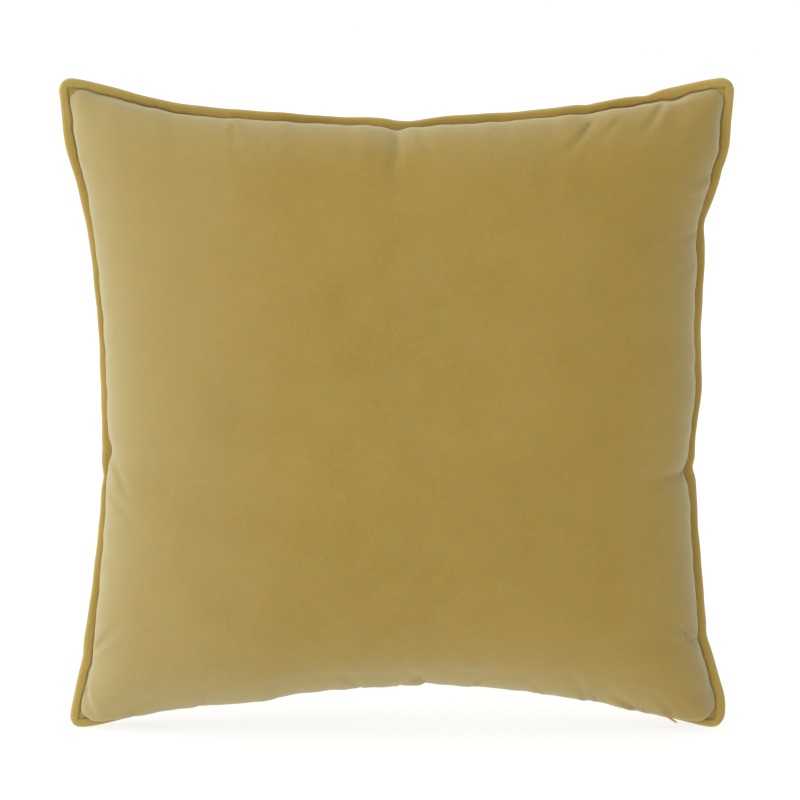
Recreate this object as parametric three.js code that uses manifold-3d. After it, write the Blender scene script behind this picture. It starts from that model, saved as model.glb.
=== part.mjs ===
// Square throw pillow: a zipped velvet cover with a narrow flange, around a plump insert.
//
// Millimetres. +X is to the right and -Y towards the viewer, both seen from the front; +Z is up.
// The pillow stands on its two lower corners, which its weight has pressed flat.
// The origin is on the floor, under the middle of the pillow. The seam plane is y = 0.

import * as THREE from 'three';
import { mergeVertices } from 'three/addons/utils/BufferGeometryUtils.js';
import Module from 'manifold-3d';

// Outline of the cover
const WIDTH = 495; // corner to corner
const HEIGHT = 487; // floor to upper corners
const FOOT_CRUSH = 1.5; // how far the lower corners are pressed flat
const FOOT_LENGTH = 15.5; // corner to where its flat patch begins
const CORNER_RADIUS = 7; // rounding of the flange's four corners
const WAIST = 32; // how far the middles of the upper and lower edges pull in
const SIDE_SHARE = 0.84; // the left and right edges pull in by this share of that
const WAIST_RADIUS = 870; // arc along the pulled-in part of a side, at the outer fold
const WAIST_HALF = 206; // half the width of that arc

// Thickness of the cover
const CROWN = 76; // rise of each panel above its edge, in the middle of the pillow
const VELVET = 1.5; // cloth with its pile
const CLEARANCE = 0.3; // between touching pieces
const FLANGE_WIDTH = 8; // seam to outer fold
const SEAM_ALLOWANCE = 5; // part of the flange strip that lies inside the seam
const FLANGE_HALF = 2.5; // half the thickness of the folded strip
const CORNER_SWELL = 3.5; // extra half thickness where the folds pile up in a corner
const SWELL_POWER = 16; // how close to the corner that swelling stays

// Zip, which lies behind the flange along the lower edge
const TAPE_WIDTH = 10;
const TAPE_THICKNESS = 0.6;
const TAPE_FRONT_Y = 3.1; // front face of the front tape
const COIL_WIDTH = 1.2;
const COIL_HEIGHT = 2.4;
const COIL_RECESS = 0.6; // how far the coils lie inside the seam line
const COIL_SPACE = 1.6; // between the two coils, for the slider's web
const TAPE_REACH = 205; // half the tape's length, along the arc
const SLIDER_REST = 195; // slider's place when the zip is closed, along the arc
const SLIDER_LENGTH = 9;
const STOP_LENGTH = 2.5;
const STOP_SPACE = 1.5; // slider to closed-end stop
const PULL_LENGTH = 24; // hinge pin to tip
const PULL_SLOPE = 33; // degrees below level, when its tip rests by the floor

// Insert
const INSERT_INSET = 12; // seam line to the insert's edge
const TICKING = 0.8;
const INSERT_SPACE = 0.6; // between cover, ticking and fill
const PIPING_RADIUS = 1.4;
const PIPING_OFFSET = 2.2; // insert's edge to the middle of its piping

// Care labels, which stand between the cover and the insert
const LABEL = { length: 30, thickness: 0.5, width: 22 };
const LABEL_INSET = 16.75; // seam line to the label's middle
const LABEL_DEPTH = 19.5; // behind the seam plane
const LABEL_TILT = 46; // degrees from the seam plane
const LABEL_DROP = 60; // below or above the pillow's middle

const GRID_STEPS = 16; // facets across each panel
const CORNER_STEPS = 3; // facets in half of a rounded corner
const ARC_STEPS = 40; // facets along the zip

const halfWidth = WIDTH / 2;
const halfHeight = (HEIGHT + FOOT_CRUSH) / 2;
const centreZ = halfHeight - FOOT_CRUSH;
const seamRadius = WAIST_RADIUS + FLANGE_WIDTH;
const arcCentreZ = WAIST - FOOT_CRUSH - WAIST_RADIUS;
const coilFrontY = TAPE_FRONT_Y + TAPE_THICKNESS + CLEARANCE;
const zipY = coilFrontY + COIL_WIDTH + COIL_SPACE / 2;
const zipDepth = 2 * zipY - TAPE_FRONT_Y;
const zipRise = zipDepth - FLANGE_HALF;

const finish = {
  velvet: { color: 0xaa8e49, roughness: 0.85, metalness: 0 },
  trim: { color: 0xb59e60, roughness: 0.8, metalness: 0 },
  tape: { color: 0x8a7440, roughness: 0.9, metalness: 0 },
  coil: { color: 0x9a7f3c, roughness: 0.5, metalness: 0 },
  lacquer: { color: 0xc99a2e, roughness: 0.35, metalness: 0.8 },
  ticking: { color: 0xeeeae0, roughness: 0.9, metalness: 0 },
  fill: { color: 0xf6f4ee, roughness: 1, metalness: 0 },
  label: { color: 0xf2f2f2, roughness: 0.6, metalness: 0 },
};

function material(name) {
  return new THREE.MeshStandardMaterial(finish[name]);
}

// ---- outline ----

// How far a side pulls in at a place along it: an arc in the middle, which a cubic curve
// carries on to the corner. `offset` is the distance inside the outer fold.
function inset(along, half, offset) {
  const radius = WAIST_RADIUS + offset;
  const arcHalf = (WAIST_HALF * radius) / WAIST_RADIUS;
  const place = Math.abs(along);
  const arcInset = (a) => WAIST - radius + Math.sqrt(radius * radius - a * a);
  if (place <= arcHalf) return arcInset(place);
  const span = half - arcHalf;
  const t = (place - arcHalf) / span;
  const slope = (-arcHalf / Math.sqrt(radius * radius - arcHalf * arcHalf)) * span;
  const fromValue = (2 * t - 3) * t * t + 1;
  const fromSlope = ((t - 2) * t + 1) * t;
  return fromValue * arcInset(arcHalf) + fromSlope * slope;
}

// A point of the pillow's face, with u and v from -1 to 1 across and up.
function facePoint(u, v, offset) {
  const halfU = halfWidth - offset;
  const halfV = halfHeight - offset;
  const x = u * (halfU - SIDE_SHARE * inset(v * halfV, halfV, offset));
  const z = centreZ + v * (halfV - inset(u * halfU, halfU, offset));
  return [x, z];
}

// Stops from -1 to 1 that crowd towards both ends, where the surfaces turn fastest.
function stops(steps) {
  return Array.from({ length: steps + 1 }, (_, i) => -Math.cos((Math.PI * i) / steps));
}

// ---- closed bodies ----

// A mesh from its points and triangles, turned so that its faces point out.
function closedMesh(name, points, triangles, look) {
  const [a, b, c] = [new THREE.Vector3(), new THREE.Vector3(), new THREE.Vector3()];
  let volume = 0;
  for (const [i, j, k] of triangles) {
    volume += a.fromArray(points[i]).dot(b.fromArray(points[j]).cross(c.fromArray(points[k])));
  }
  const facing = volume > 0 ? triangles : triangles.map(([i, j, k]) => [i, k, j]);
  const geometry = new THREE.BufferGeometry();
  geometry.setAttribute('position', new THREE.Float32BufferAttribute(points.flat(), 3));
  geometry.setIndex(facing.flat());
  geometry.computeVertexNormals();
  const mesh = new THREE.Mesh(geometry, material(look));
  mesh.name = name;
  return mesh;
}

function quad(a, b, c, d) {
  return [[a, b, c], [a, c, d]];
}

// Triangles of a square grid whose point (i, j) has the index start + i * count + j. Each cell
// is split along the diagonal that points away from the grid's middle.
function gridTriangles(count, start, flipped) {
  const triangles = [];
  const middle = (count - 1) / 2;
  for (let i = 0; i < count - 1; i += 1) {
    for (let j = 0; j < count - 1; j += 1) {
      const a = start + i * count + j;
      const cell = [a, a + 1, a + count + 1, a + count];
      const [p, q, r, s] = (i < middle) === (j < middle) ? cell : [...cell.slice(1), cell[0]];
      triangles.push(...(flipped ? quad(p, s, r, q) : quad(p, q, r, s)));
    }
  }
  return triangles;
}

// Indices around the edge of a square grid, in order.
function gridEdge(count) {
  const last = count - 1;
  const edge = [];
  for (let k = 0; k < last; k += 1) edge.push(k);
  for (let k = 0; k < last; k += 1) edge.push(k * count + last);
  for (let k = last; k > 0; k -= 1) edge.push(last * count + k);
  for (let k = last; k > 0; k -= 1) edge.push(k * count);
  return edge;
}

// A body swept through a list of sections, each a closed loop of points.
// A closed sweep joins its last section to its first; an open one has flat ends.
function sweptMesh(name, sections, closed, look) {
  const size = sections[0].length;
  const triangles = [];
  const turns = closed ? sections.length : sections.length - 1;
  for (let i = 0; i < turns; i += 1) {
    const next = ((i + 1) % sections.length) * size;
    for (let j = 0; j < size; j += 1) {
      const k = (j + 1) % size;
      triangles.push(...quad(i * size + j, i * size + k, next + k, next + j));
    }
  }
  if (!closed) {
    const end = (sections.length - 1) * size;
    for (let j = 1; j < size - 1; j += 1) {
      triangles.push([0, j + 1, j], [end, end + j, end + j + 1]);
    }
  }
  return closedMesh(name, sections.flat(), triangles, look);
}

// ---- cover ----

// Depth of a panel's edge from the seam plane: it clears the flange and its thick corners.
function edgeDepth(u, v) {
  return FLANGE_HALF + CLEARANCE + CORNER_SWELL * Math.abs(u * v) ** SWELL_POWER;
}

// Extra depth along the lower edge of the back panel, where the zip lies under it.
function zipBulge(u, v) {
  const overZip = 1 - Math.abs(u) ** (2 * SWELL_POWER);
  return zipRise * overZip * Math.max(0, -v) ** 2;
}

// Points of one domed sheet. The dome is an ellipse across and up, and lowest in the corners.
function domePoints(offset, crown, depthAt, side) {
  const points = [];
  for (const v of stops(GRID_STEPS)) {
    for (const u of stops(GRID_STEPS)) {
      const [x, z] = facePoint(u, v, offset);
      const rise = crown * Math.sqrt(Math.max(0, (1 - u * u) * (1 - v * v)));
      points.push([x, side * (depthAt(u, v) + rise), z]);
    }
  }
  return points;
}

// A domed shell of even thickness, open towards the seam plane. side is -1 in front.
function domeShell(name, { offset, crown, thickness, depthAt, side, look }) {
  const count = GRID_STEPS + 1;
  const outer = domePoints(offset, crown, depthAt, side);
  const inner = domePoints(offset + thickness, crown - thickness, depthAt, side);
  const triangles = [
    ...gridTriangles(count, 0, false),
    ...gridTriangles(count, outer.length, true),
  ];
  const edge = gridEdge(count);
  edge.forEach((index, k) => {
    const next = edge[(k + 1) % edge.length];
    triangles.push(...quad(next, index, index + outer.length, next + outer.length));
  });
  return closedMesh(name, [...outer, ...inner], triangles, look);
}

function panel(name, side, depthAt) {
  return domeShell(name, {
    offset: FLANGE_WIDTH, crown: CROWN, thickness: VELVET, depthAt, side, look: 'velvet',
  });
}

// From a place along a side and a distance inside its corner line to x and z.
const sides = {
  bottom: { half: halfWidth, pull: 1, place: (a, d) => [a, Math.max(0, d - FOOT_CRUSH)] },
  top: { half: halfWidth, pull: 1, place: (a, d) => [a, HEIGHT - d] },
  left: { half: halfHeight, pull: SIDE_SHARE, place: (a, d) => [d - halfWidth, centreZ + a] },
  right: { half: halfHeight, pull: SIDE_SHARE, place: (a, d) => [halfWidth - d, centreZ + a] },
};

// The outer fold of a side at a stop: the pulled-in outline with a rounded corner.
// `pull` is the side's share of the full waist.
function outerFold(t, half, pull) {
  const roundFrom = 1 - CORNER_RADIUS / half;
  const line = pull * inset(t * half, half, 0);
  const share = (Math.abs(t) - roundFrom) / (1 - roundFrom);
  if (share <= 0) return [t * half, line];
  const turn = (share * Math.PI) / 4;
  const along = half - CORNER_RADIUS * (1 - Math.sin(turn));
  return [Math.sign(t) * along, line + CORNER_RADIUS * (1 - Math.cos(turn))];
}

// Front half of the strip's section, from the raw edge inside the seam to the outer fold:
// how far out each point is, its share of the strip's thickness and of the corner's swelling.
const seamShare = SEAM_ALLOWANCE / (SEAM_ALLOWANCE + FLANGE_WIDTH);
const frontFold = [[0, 1, 0], [seamShare, 1, 1], [0.8, 1, 1], [0.94, 0.85, 0.85], [1, 0.6, 0.6]];
const backFold = frontFold.map(([out, share, swell]) => [out, -share, -swell]).reverse();
const foldSection = [...frontFold, ...backFold];

// One side of the flange: a strip folded along its outer edge, mitred at both corners.
function flangeSide(name, { half, pull, place }) {
  const depth = FLANGE_WIDTH + SEAM_ALLOWANCE;
  const roundFrom = 1 - CORNER_RADIUS / half;
  const footFrom = 1 - FOOT_LENGTH / half;
  const rounded = Array.from({ length: CORNER_STEPS + 1 }, (_, i) => (
    roundFrom + ((1 - roundFrom) * i) / CORNER_STEPS
  ));
  const corner = [footFrom, ...rounded];
  const middle = stops(GRID_STEPS).filter((t) => Math.abs(t) < footFrom);
  const places = [...corner.map((t) => -t).reverse(), ...middle, ...corner];
  const sections = places.map((t) => {
    const mitre = Math.abs(t) === 1 ? Math.sign(t) * CLEARANCE : 0;
    const [outA, outD] = outerFold(t, half, pull);
    const inA = t * (half - depth);
    const inD = depth + pull * inset(inA, half - depth, depth);
    const swelling = CORNER_SWELL * Math.abs(t) ** SWELL_POWER;
    return foldSection.map(([out, share, swell]) => {
      const along = THREE.MathUtils.lerp(inA, outA, out) - mitre;
      const [x, z] = place(along, THREE.MathUtils.lerp(inD, outD, out));
      return [x, share * FLANGE_HALF + swell * swelling, z];
    });
  });
  return sweptMesh(name, sections, false, 'trim');
}

// ---- zip ----

// A bar that follows the zip's arc. `from` and `to` are places along the seam line, and the
// bar reaches `outside` beyond the seam line and `inside` it.
function arcBar(name, { from, to, outside, inside, frontY, backY, look }) {
  const steps = Math.max(1, Math.ceil((ARC_STEPS * (to - from)) / (2 * TAPE_REACH)));
  const section = [
    [seamRadius - outside, frontY], [seamRadius - outside, backY],
    [seamRadius + inside, backY], [seamRadius + inside, frontY],
  ];
  const sections = Array.from({ length: steps + 1 }, (_, i) => {
    const angle = THREE.MathUtils.lerp(from, to, i / steps) / seamRadius;
    return section.map(([r, y]) => [r * Math.sin(angle), y, arcCentreZ + r * Math.cos(angle)]);
  });
  return sweptMesh(name, sections, false, look);
}

const stopFrom = SLIDER_REST + SLIDER_LENGTH / 2 + STOP_SPACE;
const openEnd = -stopFrom;
const coilTop = COIL_RECESS + COIL_HEIGHT;

function tape(name, frontY) {
  return arcBar(name, {
    from: -TAPE_REACH, to: TAPE_REACH, outside: CLEARANCE, inside: TAPE_WIDTH,
    frontY, backY: frontY + TAPE_THICKNESS, look: 'tape',
  });
}

function coil(name, frontY) {
  return arcBar(name, {
    from: openEnd + CLEARANCE, to: stopFrom - CLEARANCE, outside: -COIL_RECESS, inside: coilTop,
    frontY, backY: frontY + COIL_WIDTH, look: 'coil',
  });
}

function topStop(name, frontY) {
  return arcBar(name, {
    from: stopFrom, to: stopFrom + STOP_LENGTH, outside: -COIL_RECESS, inside: coilTop,
    frontY, backY: frontY + COIL_WIDTH, look: 'lacquer',
  });
}

function bottomStop() {
  return arcBar('zipper_bottom_stop', {
    from: openEnd - STOP_LENGTH, to: openEnd, outside: -COIL_RECESS, inside: coilTop,
    frontY: coilFrontY, backY: 2 * zipY - coilFrontY, look: 'lacquer',
  });
}

const wasm = await Module();
wasm.setup();

function toSolid(geometry) {
  const bare = geometry.index ? geometry.clone() : geometry;
  bare.deleteAttribute('normal');
  bare.deleteAttribute('uv');
  const merged = mergeVertices(bare);
  return new wasm.Manifold(new wasm.Mesh({
    numProp: 3,
    vertProperties: new Float32Array(merged.attributes.position.array),
    triVerts: new Uint32Array(merged.index.array),
  }));
}

function solidMesh(name, solid, look) {
  const { vertProperties, triVerts } = solid.getMesh();
  const geometry = new THREE.BufferGeometry();
  geometry.setAttribute('position', new THREE.Float32BufferAttribute(vertProperties, 3));
  geometry.setIndex([...triVerts]);
  geometry.computeVertexNormals();
  const mesh = new THREE.Mesh(geometry, material(look));
  mesh.name = name;
  return mesh;
}

function block(x, y, z) {
  const geometry = new THREE.BoxGeometry(x[1] - x[0], y[1] - y[0], z[1] - z[0]);
  return geometry.translate((x[0] + x[1]) / 2, (y[0] + y[1]) / 2, (z[0] + z[1]) / 2);
}

// A plate with rounded ends, flat in x and y.
function roundedPlate(length, width, z) {
  const shape = new THREE.Shape();
  const straight = length / 2 - width / 2;
  shape.absarc(straight, 0, width / 2, -Math.PI / 2, Math.PI / 2, false);
  shape.absarc(-straight, 0, width / 2, Math.PI / 2, (3 * Math.PI) / 2, false);
  const plate = new THREE.ExtrudeGeometry(shape, {
    depth: z[1] - z[0], bevelEnabled: false, curveSegments: 8,
  });
  return plate.translate(0, 0, z[0]);
}

// The slider's own frame: x along the zip, y through the pillow, z into the pillow,
// with its origin on the seam line between the two coils.
const OUTER_PLATE = { width: 5.4, z: [-2, -0.8] };
const INNER_PLATE = { length: 8, width: 3.8, z: [3.4, 4.4] };
const WEB = { length: 5, width: 1 };
const BRIDGE = { half: 3.2, post: 0.8, width: 1, z: [-4.6, -1.9], bar: 0.8 };
const PIN = { radius: 0.55, z: -2.9 };

function sliderBody() {
  const { half, post, width, z, bar } = BRIDGE;
  const thick = [-width / 2, width / 2];
  const pieces = [
    roundedPlate(SLIDER_LENGTH, OUTER_PLATE.width, OUTER_PLATE.z),
    roundedPlate(INNER_PLATE.length, INNER_PLATE.width, INNER_PLATE.z),
    block([-WEB.length / 2, WEB.length / 2], [-WEB.width / 2, WEB.width / 2], [-1.4, 3.9]),
    block([-half, post - half], thick, z),
    block([half - post, half], thick, z),
    block([-half, half], thick, [z[0], z[0] + bar]),
  ];
  const solid = pieces.map(toSolid).reduce((whole, piece) => whole.add(piece));
  return solidMesh('zipper_slider', solid, 'lacquer');
}

// The pull's own frame: x along the pull, y along its hinge pin, with its origin on the pin.
const PULL = { halfWidth: 1.9, cheekFrom: 0.85, cheekEnd: 5, barFrom: 4, thinHalf: 0.55, thickHalf: 0.9 };

function pullTab() {
  const { halfWidth: side, cheekFrom, cheekEnd, barFrom, thinHalf, thickHalf } = PULL;
  const pin = new THREE.CylinderGeometry(PIN.radius, PIN.radius, 2 * side, 16);
  const outline = new THREE.Shape([
    new THREE.Vector2(barFrom, -thinHalf),
    new THREE.Vector2(barFrom + 2, -thickHalf),
    new THREE.Vector2(PULL_LENGTH - thickHalf, -thickHalf),
  ]);
  outline.absarc(PULL_LENGTH - thickHalf, 0, thickHalf, -Math.PI / 2, Math.PI / 2, false);
  outline.lineTo(barFrom + 2, thickHalf);
  outline.lineTo(barFrom, thinHalf);
  const bar = new THREE.ExtrudeGeometry(outline, {
    depth: 2 * side, bevelEnabled: false, curveSegments: 6,
  });
  bar.translate(0, 0, -side);
  bar.rotateX(Math.PI / 2);
  const cheek = (y) => block([-thinHalf, cheekEnd], y, [-thinHalf, thinHalf]);
  const pieces = [pin, bar, cheek([cheekFrom, side]), cheek([-side, -cheekFrom])];
  const solid = pieces.map(toSolid).reduce((whole, piece) => whole.add(piece));
  return solidMesh('zipper_pull_tab', solid, 'lacquer');
}

// The slider on its arc, with the pull hinged under its bridge.
function sliderAssembly() {
  const angle = SLIDER_REST / seamRadius;
  const slider = new THREE.Group();
  slider.position.set(seamRadius * Math.sin(angle), zipY, arcCentreZ + seamRadius * Math.cos(angle));
  slider.rotation.y = angle;
  const pull = new THREE.Group();
  pull.position.z = PIN.z;
  pull.rotation.y = THREE.MathUtils.degToRad(PULL_SLOPE) - angle;
  pull.add(pullTab());
  slider.add(sliderBody(), pull);
  return slider;
}

function zip() {
  const group = new THREE.Group();
  const backCoilY = 2 * zipY - coilFrontY - COIL_WIDTH;
  group.add(
    tape('zipper_tape_front', TAPE_FRONT_Y),
    tape('zipper_tape_back', 2 * zipY - TAPE_FRONT_Y - TAPE_THICKNESS),
    coil('zipper_coil_front', coilFrontY),
    coil('zipper_coil_back', backCoilY),
    topStop('zipper_top_stop_front', coilFrontY),
    topStop('zipper_top_stop_back', backCoilY),
    bottomStop(),
    sliderAssembly(),
  );
  return group;
}

// ---- insert ----

const insertEdge = FLANGE_WIDTH + INSERT_INSET;
const insertCrown = CROWN - VELVET - INSERT_SPACE;
const fillEdge = insertEdge + TICKING + INSERT_SPACE;
const fillCrown = insertCrown - TICKING - INSERT_SPACE;

function ticking(name, side) {
  return domeShell(name, {
    offset: insertEdge, crown: insertCrown, thickness: TICKING, depthAt: () => CLEARANCE,
    side, look: 'ticking',
  });
}

// The fill: two domes that share their edge.
function fill() {
  const count = GRID_STEPS + 1;
  const front = domePoints(fillEdge, fillCrown, () => 0, -1);
  const back = domePoints(fillEdge, fillCrown, () => 0, 1);
  const edge = new Set(gridEdge(count));
  const backIndex = [];
  const points = [...front];
  back.forEach((point, i) => {
    backIndex.push(edge.has(i) ? i : points.push(point) - 1);
  });
  const triangles = [
    ...gridTriangles(count, 0, false),
    ...gridTriangles(count, 0, true).map((corners) => corners.map((i) => backIndex[i])),
  ];
  return closedMesh('insert_fill', points, triangles, 'fill');
}

// The corded edge that closes the two halves of the ticking.
function insertPiping() {
  const middle = insertEdge - PIPING_OFFSET;
  const section = Array.from({ length: 8 }, (_, i) => {
    const turn = (i * Math.PI) / 4;
    return [middle + PIPING_RADIUS * Math.cos(turn), PIPING_RADIUS * Math.sin(turn)];
  });
  const along = stops(GRID_STEPS).slice(0, -1);
  const loop = [
    ...along.map((t) => [t, -1]),
    ...along.map((t) => [1, t]),
    ...along.map((t) => [-t, 1]),
    ...along.map((t) => [-1, -t]),
  ];
  const sections = loop.map(([u, v]) => section.map(([offset, y]) => {
    const [x, z] = facePoint(u, v, offset);
    return [x, y, z];
  }));
  return sweptMesh('insert_piping', sections, true, 'ticking');
}

// A blank label sewn into a side seam; side is -1 on the left.
function sideLabel(name, side, up) {
  const pulledIn = SIDE_SHARE * inset(up, halfHeight - FLANGE_WIDTH, FLANGE_WIDTH);
  const seamX = halfWidth - FLANGE_WIDTH - pulledIn;
  const geometry = new THREE.BoxGeometry(LABEL.length, LABEL.thickness, LABEL.width);
  const mesh = new THREE.Mesh(geometry, material('label'));
  mesh.name = name;
  mesh.position.set(side * (seamX - LABEL_INSET), LABEL_DEPTH, centreZ + up);
  mesh.rotation.z = -side * THREE.MathUtils.degToRad(LABEL_TILT);
  return mesh;
}

const cover = new THREE.Group();
cover.add(panel('front_panel', -1, edgeDepth));
cover.add(panel('back_panel', 1, (u, v) => edgeDepth(u, v) + zipBulge(u, v)));
for (const [side, shape] of Object.entries(sides)) cover.add(flangeSide(`flange_${side}`, shape));
cover.add(sideLabel('care_label', -1, -LABEL_DROP));

const insert = new THREE.Group();
insert.add(ticking('insert_front', -1), ticking('insert_back', 1));
insert.add(insertPiping(), fill(), sideLabel('insert_label', 1, LABEL_DROP));

const pillow = new THREE.Group();
pillow.add(cover, zip(), insert);

export default pillow;
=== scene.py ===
"""Looks of the velvet throw pillow: its two panels, flange, zip and insert, with camera and light."""

import math

import bmesh
import bpy
import numpy as np
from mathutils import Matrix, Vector


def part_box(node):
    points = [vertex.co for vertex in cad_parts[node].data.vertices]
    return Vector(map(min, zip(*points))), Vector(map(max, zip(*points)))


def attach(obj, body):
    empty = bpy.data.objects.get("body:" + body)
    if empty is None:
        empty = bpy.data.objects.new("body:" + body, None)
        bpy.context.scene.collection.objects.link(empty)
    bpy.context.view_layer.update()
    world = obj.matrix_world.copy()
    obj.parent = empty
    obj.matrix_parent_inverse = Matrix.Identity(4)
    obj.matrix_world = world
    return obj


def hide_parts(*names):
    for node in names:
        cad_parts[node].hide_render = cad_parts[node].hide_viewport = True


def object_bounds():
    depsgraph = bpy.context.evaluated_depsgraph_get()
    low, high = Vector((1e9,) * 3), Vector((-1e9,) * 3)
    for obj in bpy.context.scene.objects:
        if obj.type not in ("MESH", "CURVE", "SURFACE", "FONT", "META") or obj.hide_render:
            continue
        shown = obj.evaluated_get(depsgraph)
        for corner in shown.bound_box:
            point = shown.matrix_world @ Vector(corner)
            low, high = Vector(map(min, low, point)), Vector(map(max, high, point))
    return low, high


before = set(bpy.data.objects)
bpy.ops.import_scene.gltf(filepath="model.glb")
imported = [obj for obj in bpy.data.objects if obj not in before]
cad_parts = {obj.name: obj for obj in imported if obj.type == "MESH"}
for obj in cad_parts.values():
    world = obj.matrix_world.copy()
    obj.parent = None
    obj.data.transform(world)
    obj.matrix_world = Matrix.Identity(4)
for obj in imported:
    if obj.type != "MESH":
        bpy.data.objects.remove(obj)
cad_low, cad_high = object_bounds()

# ---- measures, in metres ----

seam_low, seam_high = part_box("front_panel")
SEAM_HALF_X = (seam_high.x - seam_low.x) / 2
SEAM_HALF_Z = (seam_high.z - seam_low.z) / 2
CENTRE_Z = (seam_high.z + seam_low.z) / 2
FLANGE_WIDTH = cad_high.z - seam_high.z
FLANGE_HALF = 0.0025            # half the folded strip's thickness
GAP = 0.0003                    # between touching pieces
SEAM_ALLOWANCE = 0.005          # part of the strip that lies inside the seam
CORNER_RADIUS = 0.011           # rounding of the flange's corners
SEAM_CORNER = 0.012             # rounding of the seam at the corners
CORNER_SWELL = 0.002            # extra half thickness where the folds pile up
SIDES = ("bottom", "right", "top", "left")
WAIST = {"bottom": 0.032, "right": 0.0255, "top": 0.029, "left": 0.028}  # pull of each middle
WAIST_RADIUS = 0.870            # arc of that pull at the outer fold
WAIST_HALF = 0.206              # half the width of that arc
CROWN = 0.076                   # rise of each panel above its edge
VELVET = 0.0015                 # cloth with its pile
ZIP_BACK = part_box("zipper_tape_back")[1].y + GAP  # depth at which the back panel clears the zip
ZIP_CLOSE_FROM = 0.853          # where it starts to close on the flange, of its half width
ZIP_CLOSE = 0.040               # stretch over which it closes, of its half width

# Dips in the outline where the cloth was eased into the seam: side, place along it from its
# middle, depth inwards at the seam and at the outer fold, and half width.
DIPS = (
    ("top", -0.001, 0.0040, 0.0006, 0.0055),
    ("top", 0.009, 0.0014, 0.0030, 0.0180),
    ("top", 0.139, 0.0016, 0.0010, 0.0070),
    ("top", 0.183, 0.0004, 0.0022, 0.0110),
    ("top", 0.203, 0.0022, 0.0000, 0.0070),
    ("top", -0.154, 0.0034, 0.0034, 0.0600),
    ("right", 0.176, 0.0020, 0.0006, 0.0060),
    ("right", 0.158, 0.0012, 0.0000, 0.0050),
    ("right", 0.137, 0.0040, 0.0046, 0.0180),
    ("right", 0.122, 0.0018, 0.0000, 0.0060),
    ("right", 0.190, -0.0056, -0.0056, 0.0400),
    ("right", 0.016, -0.0052, -0.0052, 0.0600),
    ("right", -0.020, 0.0012, 0.0014, 0.0250),
    ("right", -0.045, 0.0062, 0.0028, 0.0085),
    ("right", -0.172, 0.0026, 0.0020, 0.0130),
    ("right", -0.222, -0.0050, -0.0050, 0.0300),
    ("left", 0.196, -0.0048, -0.0048, 0.0330),
    ("left", -0.030, 0.0048, 0.0008, 0.0085),
    ("left", -0.052, -0.0004, 0.0020, 0.0100),
    ("left", -0.188, 0.0016, 0.0012, 0.0120),
    ("bottom", 0.025, 0.0030, 0.0030, 0.0060),
    ("bottom", 0.060, 0.0038, 0.0038, 0.1200),
    ("bottom", -0.075, 0.0010, 0.0010, 0.0180),
    ("bottom", -0.105, -0.0045, -0.0045, 0.0500),
    ("bottom", 0.150, 0.0014, 0.0014, 0.0120),
    ("bottom", 0.188, -0.0010, -0.0010, 0.0080),
)
SEAM_WAVE = 0.00035             # height of the small wave that stitching leaves in the seam

# Furrows pressed into the filled panel: where each starts at the seam and where it runs out,
# as x and height, then its depth and half width.
FURROWS = (
    ((-0.001, 0.446), (-0.004, 0.410), 0.0046, 0.0042),
    ((0.012, 0.449), (0.030, 0.428), 0.0024, 0.0040),
    ((0.197, 0.470), (0.170, 0.440), 0.0036, 0.0044),
    ((0.139, 0.452), (0.114, 0.426), 0.0028, 0.0044),
    ((0.158, 0.456), (0.146, 0.436), 0.0016, 0.0040),
    ((-0.120, 0.451), (-0.108, 0.420), 0.0016, 0.0060),
    ((0.234, 0.417), (0.204, 0.405), 0.0034, 0.0040),
    ((0.228, 0.396), (0.206, 0.398), 0.0024, 0.0036),
    ((0.222, 0.376), (0.190, 0.366), 0.0040, 0.0046),
    ((0.220, 0.356), (0.196, 0.340), 0.0024, 0.0042),
    ((0.212, 0.199), (0.182, 0.196), 0.0040, 0.0050),
    ((0.226, 0.070), (0.193, 0.094), 0.0034, 0.0046),
    ((-0.213, 0.214), (-0.194, 0.182), 0.0046, 0.0036),
    ((-0.214, 0.246), (-0.196, 0.252), 0.0014, 0.0040),
    ((-0.214, 0.186), (-0.186, 0.160), 0.0022, 0.0050),
    ((-0.218, 0.140), (-0.196, 0.150), 0.0014, 0.0060),
    ((-0.230, 0.060), (-0.198, 0.090), 0.0036, 0.0048),
    ((-0.233, 0.036), (-0.228, 0.006), 0.0044, 0.0044),
    ((-0.238, 0.440), (-0.206, 0.420), 0.0018, 0.0050),
    ((0.026, 0.030), (0.008, 0.056), 0.0052, 0.0034),
    ((0.000, 0.032), (0.018, 0.050), 0.0032, 0.0030),
    ((-0.026, 0.032), (-0.040, 0.054), 0.0030, 0.0036),
    ((0.056, 0.034), (0.068, 0.058), 0.0026, 0.0036),
    ((0.106, 0.028), (0.096, 0.052), 0.0018, 0.0040),
    ((0.150, 0.018), (0.126, 0.052), 0.0036, 0.0044),
    ((0.184, 0.010), (0.156, 0.040), 0.0034, 0.0042),
    ((0.212, 0.008), (0.190, 0.036), 0.0028, 0.0040),
    ((-0.090, 0.024), (-0.084, 0.050), 0.0014, 0.0050),
    ((-0.150, 0.018), (-0.128, 0.050), 0.0024, 0.0050),
    ((-0.200, 0.010), (-0.176, 0.040), 0.0024, 0.0046),
)
PUCKER = 0.0007                 # height of the gathers along the seam

# How far the filled panels swell out over each side's flange, and how much further at the feet.
OVERHANG = {"bottom": 0.0078, "right": 0.0015, "top": 0.0030, "left": 0.0025}
CORNER_SLUMP = 0.0065

# ---- outline ----


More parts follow.
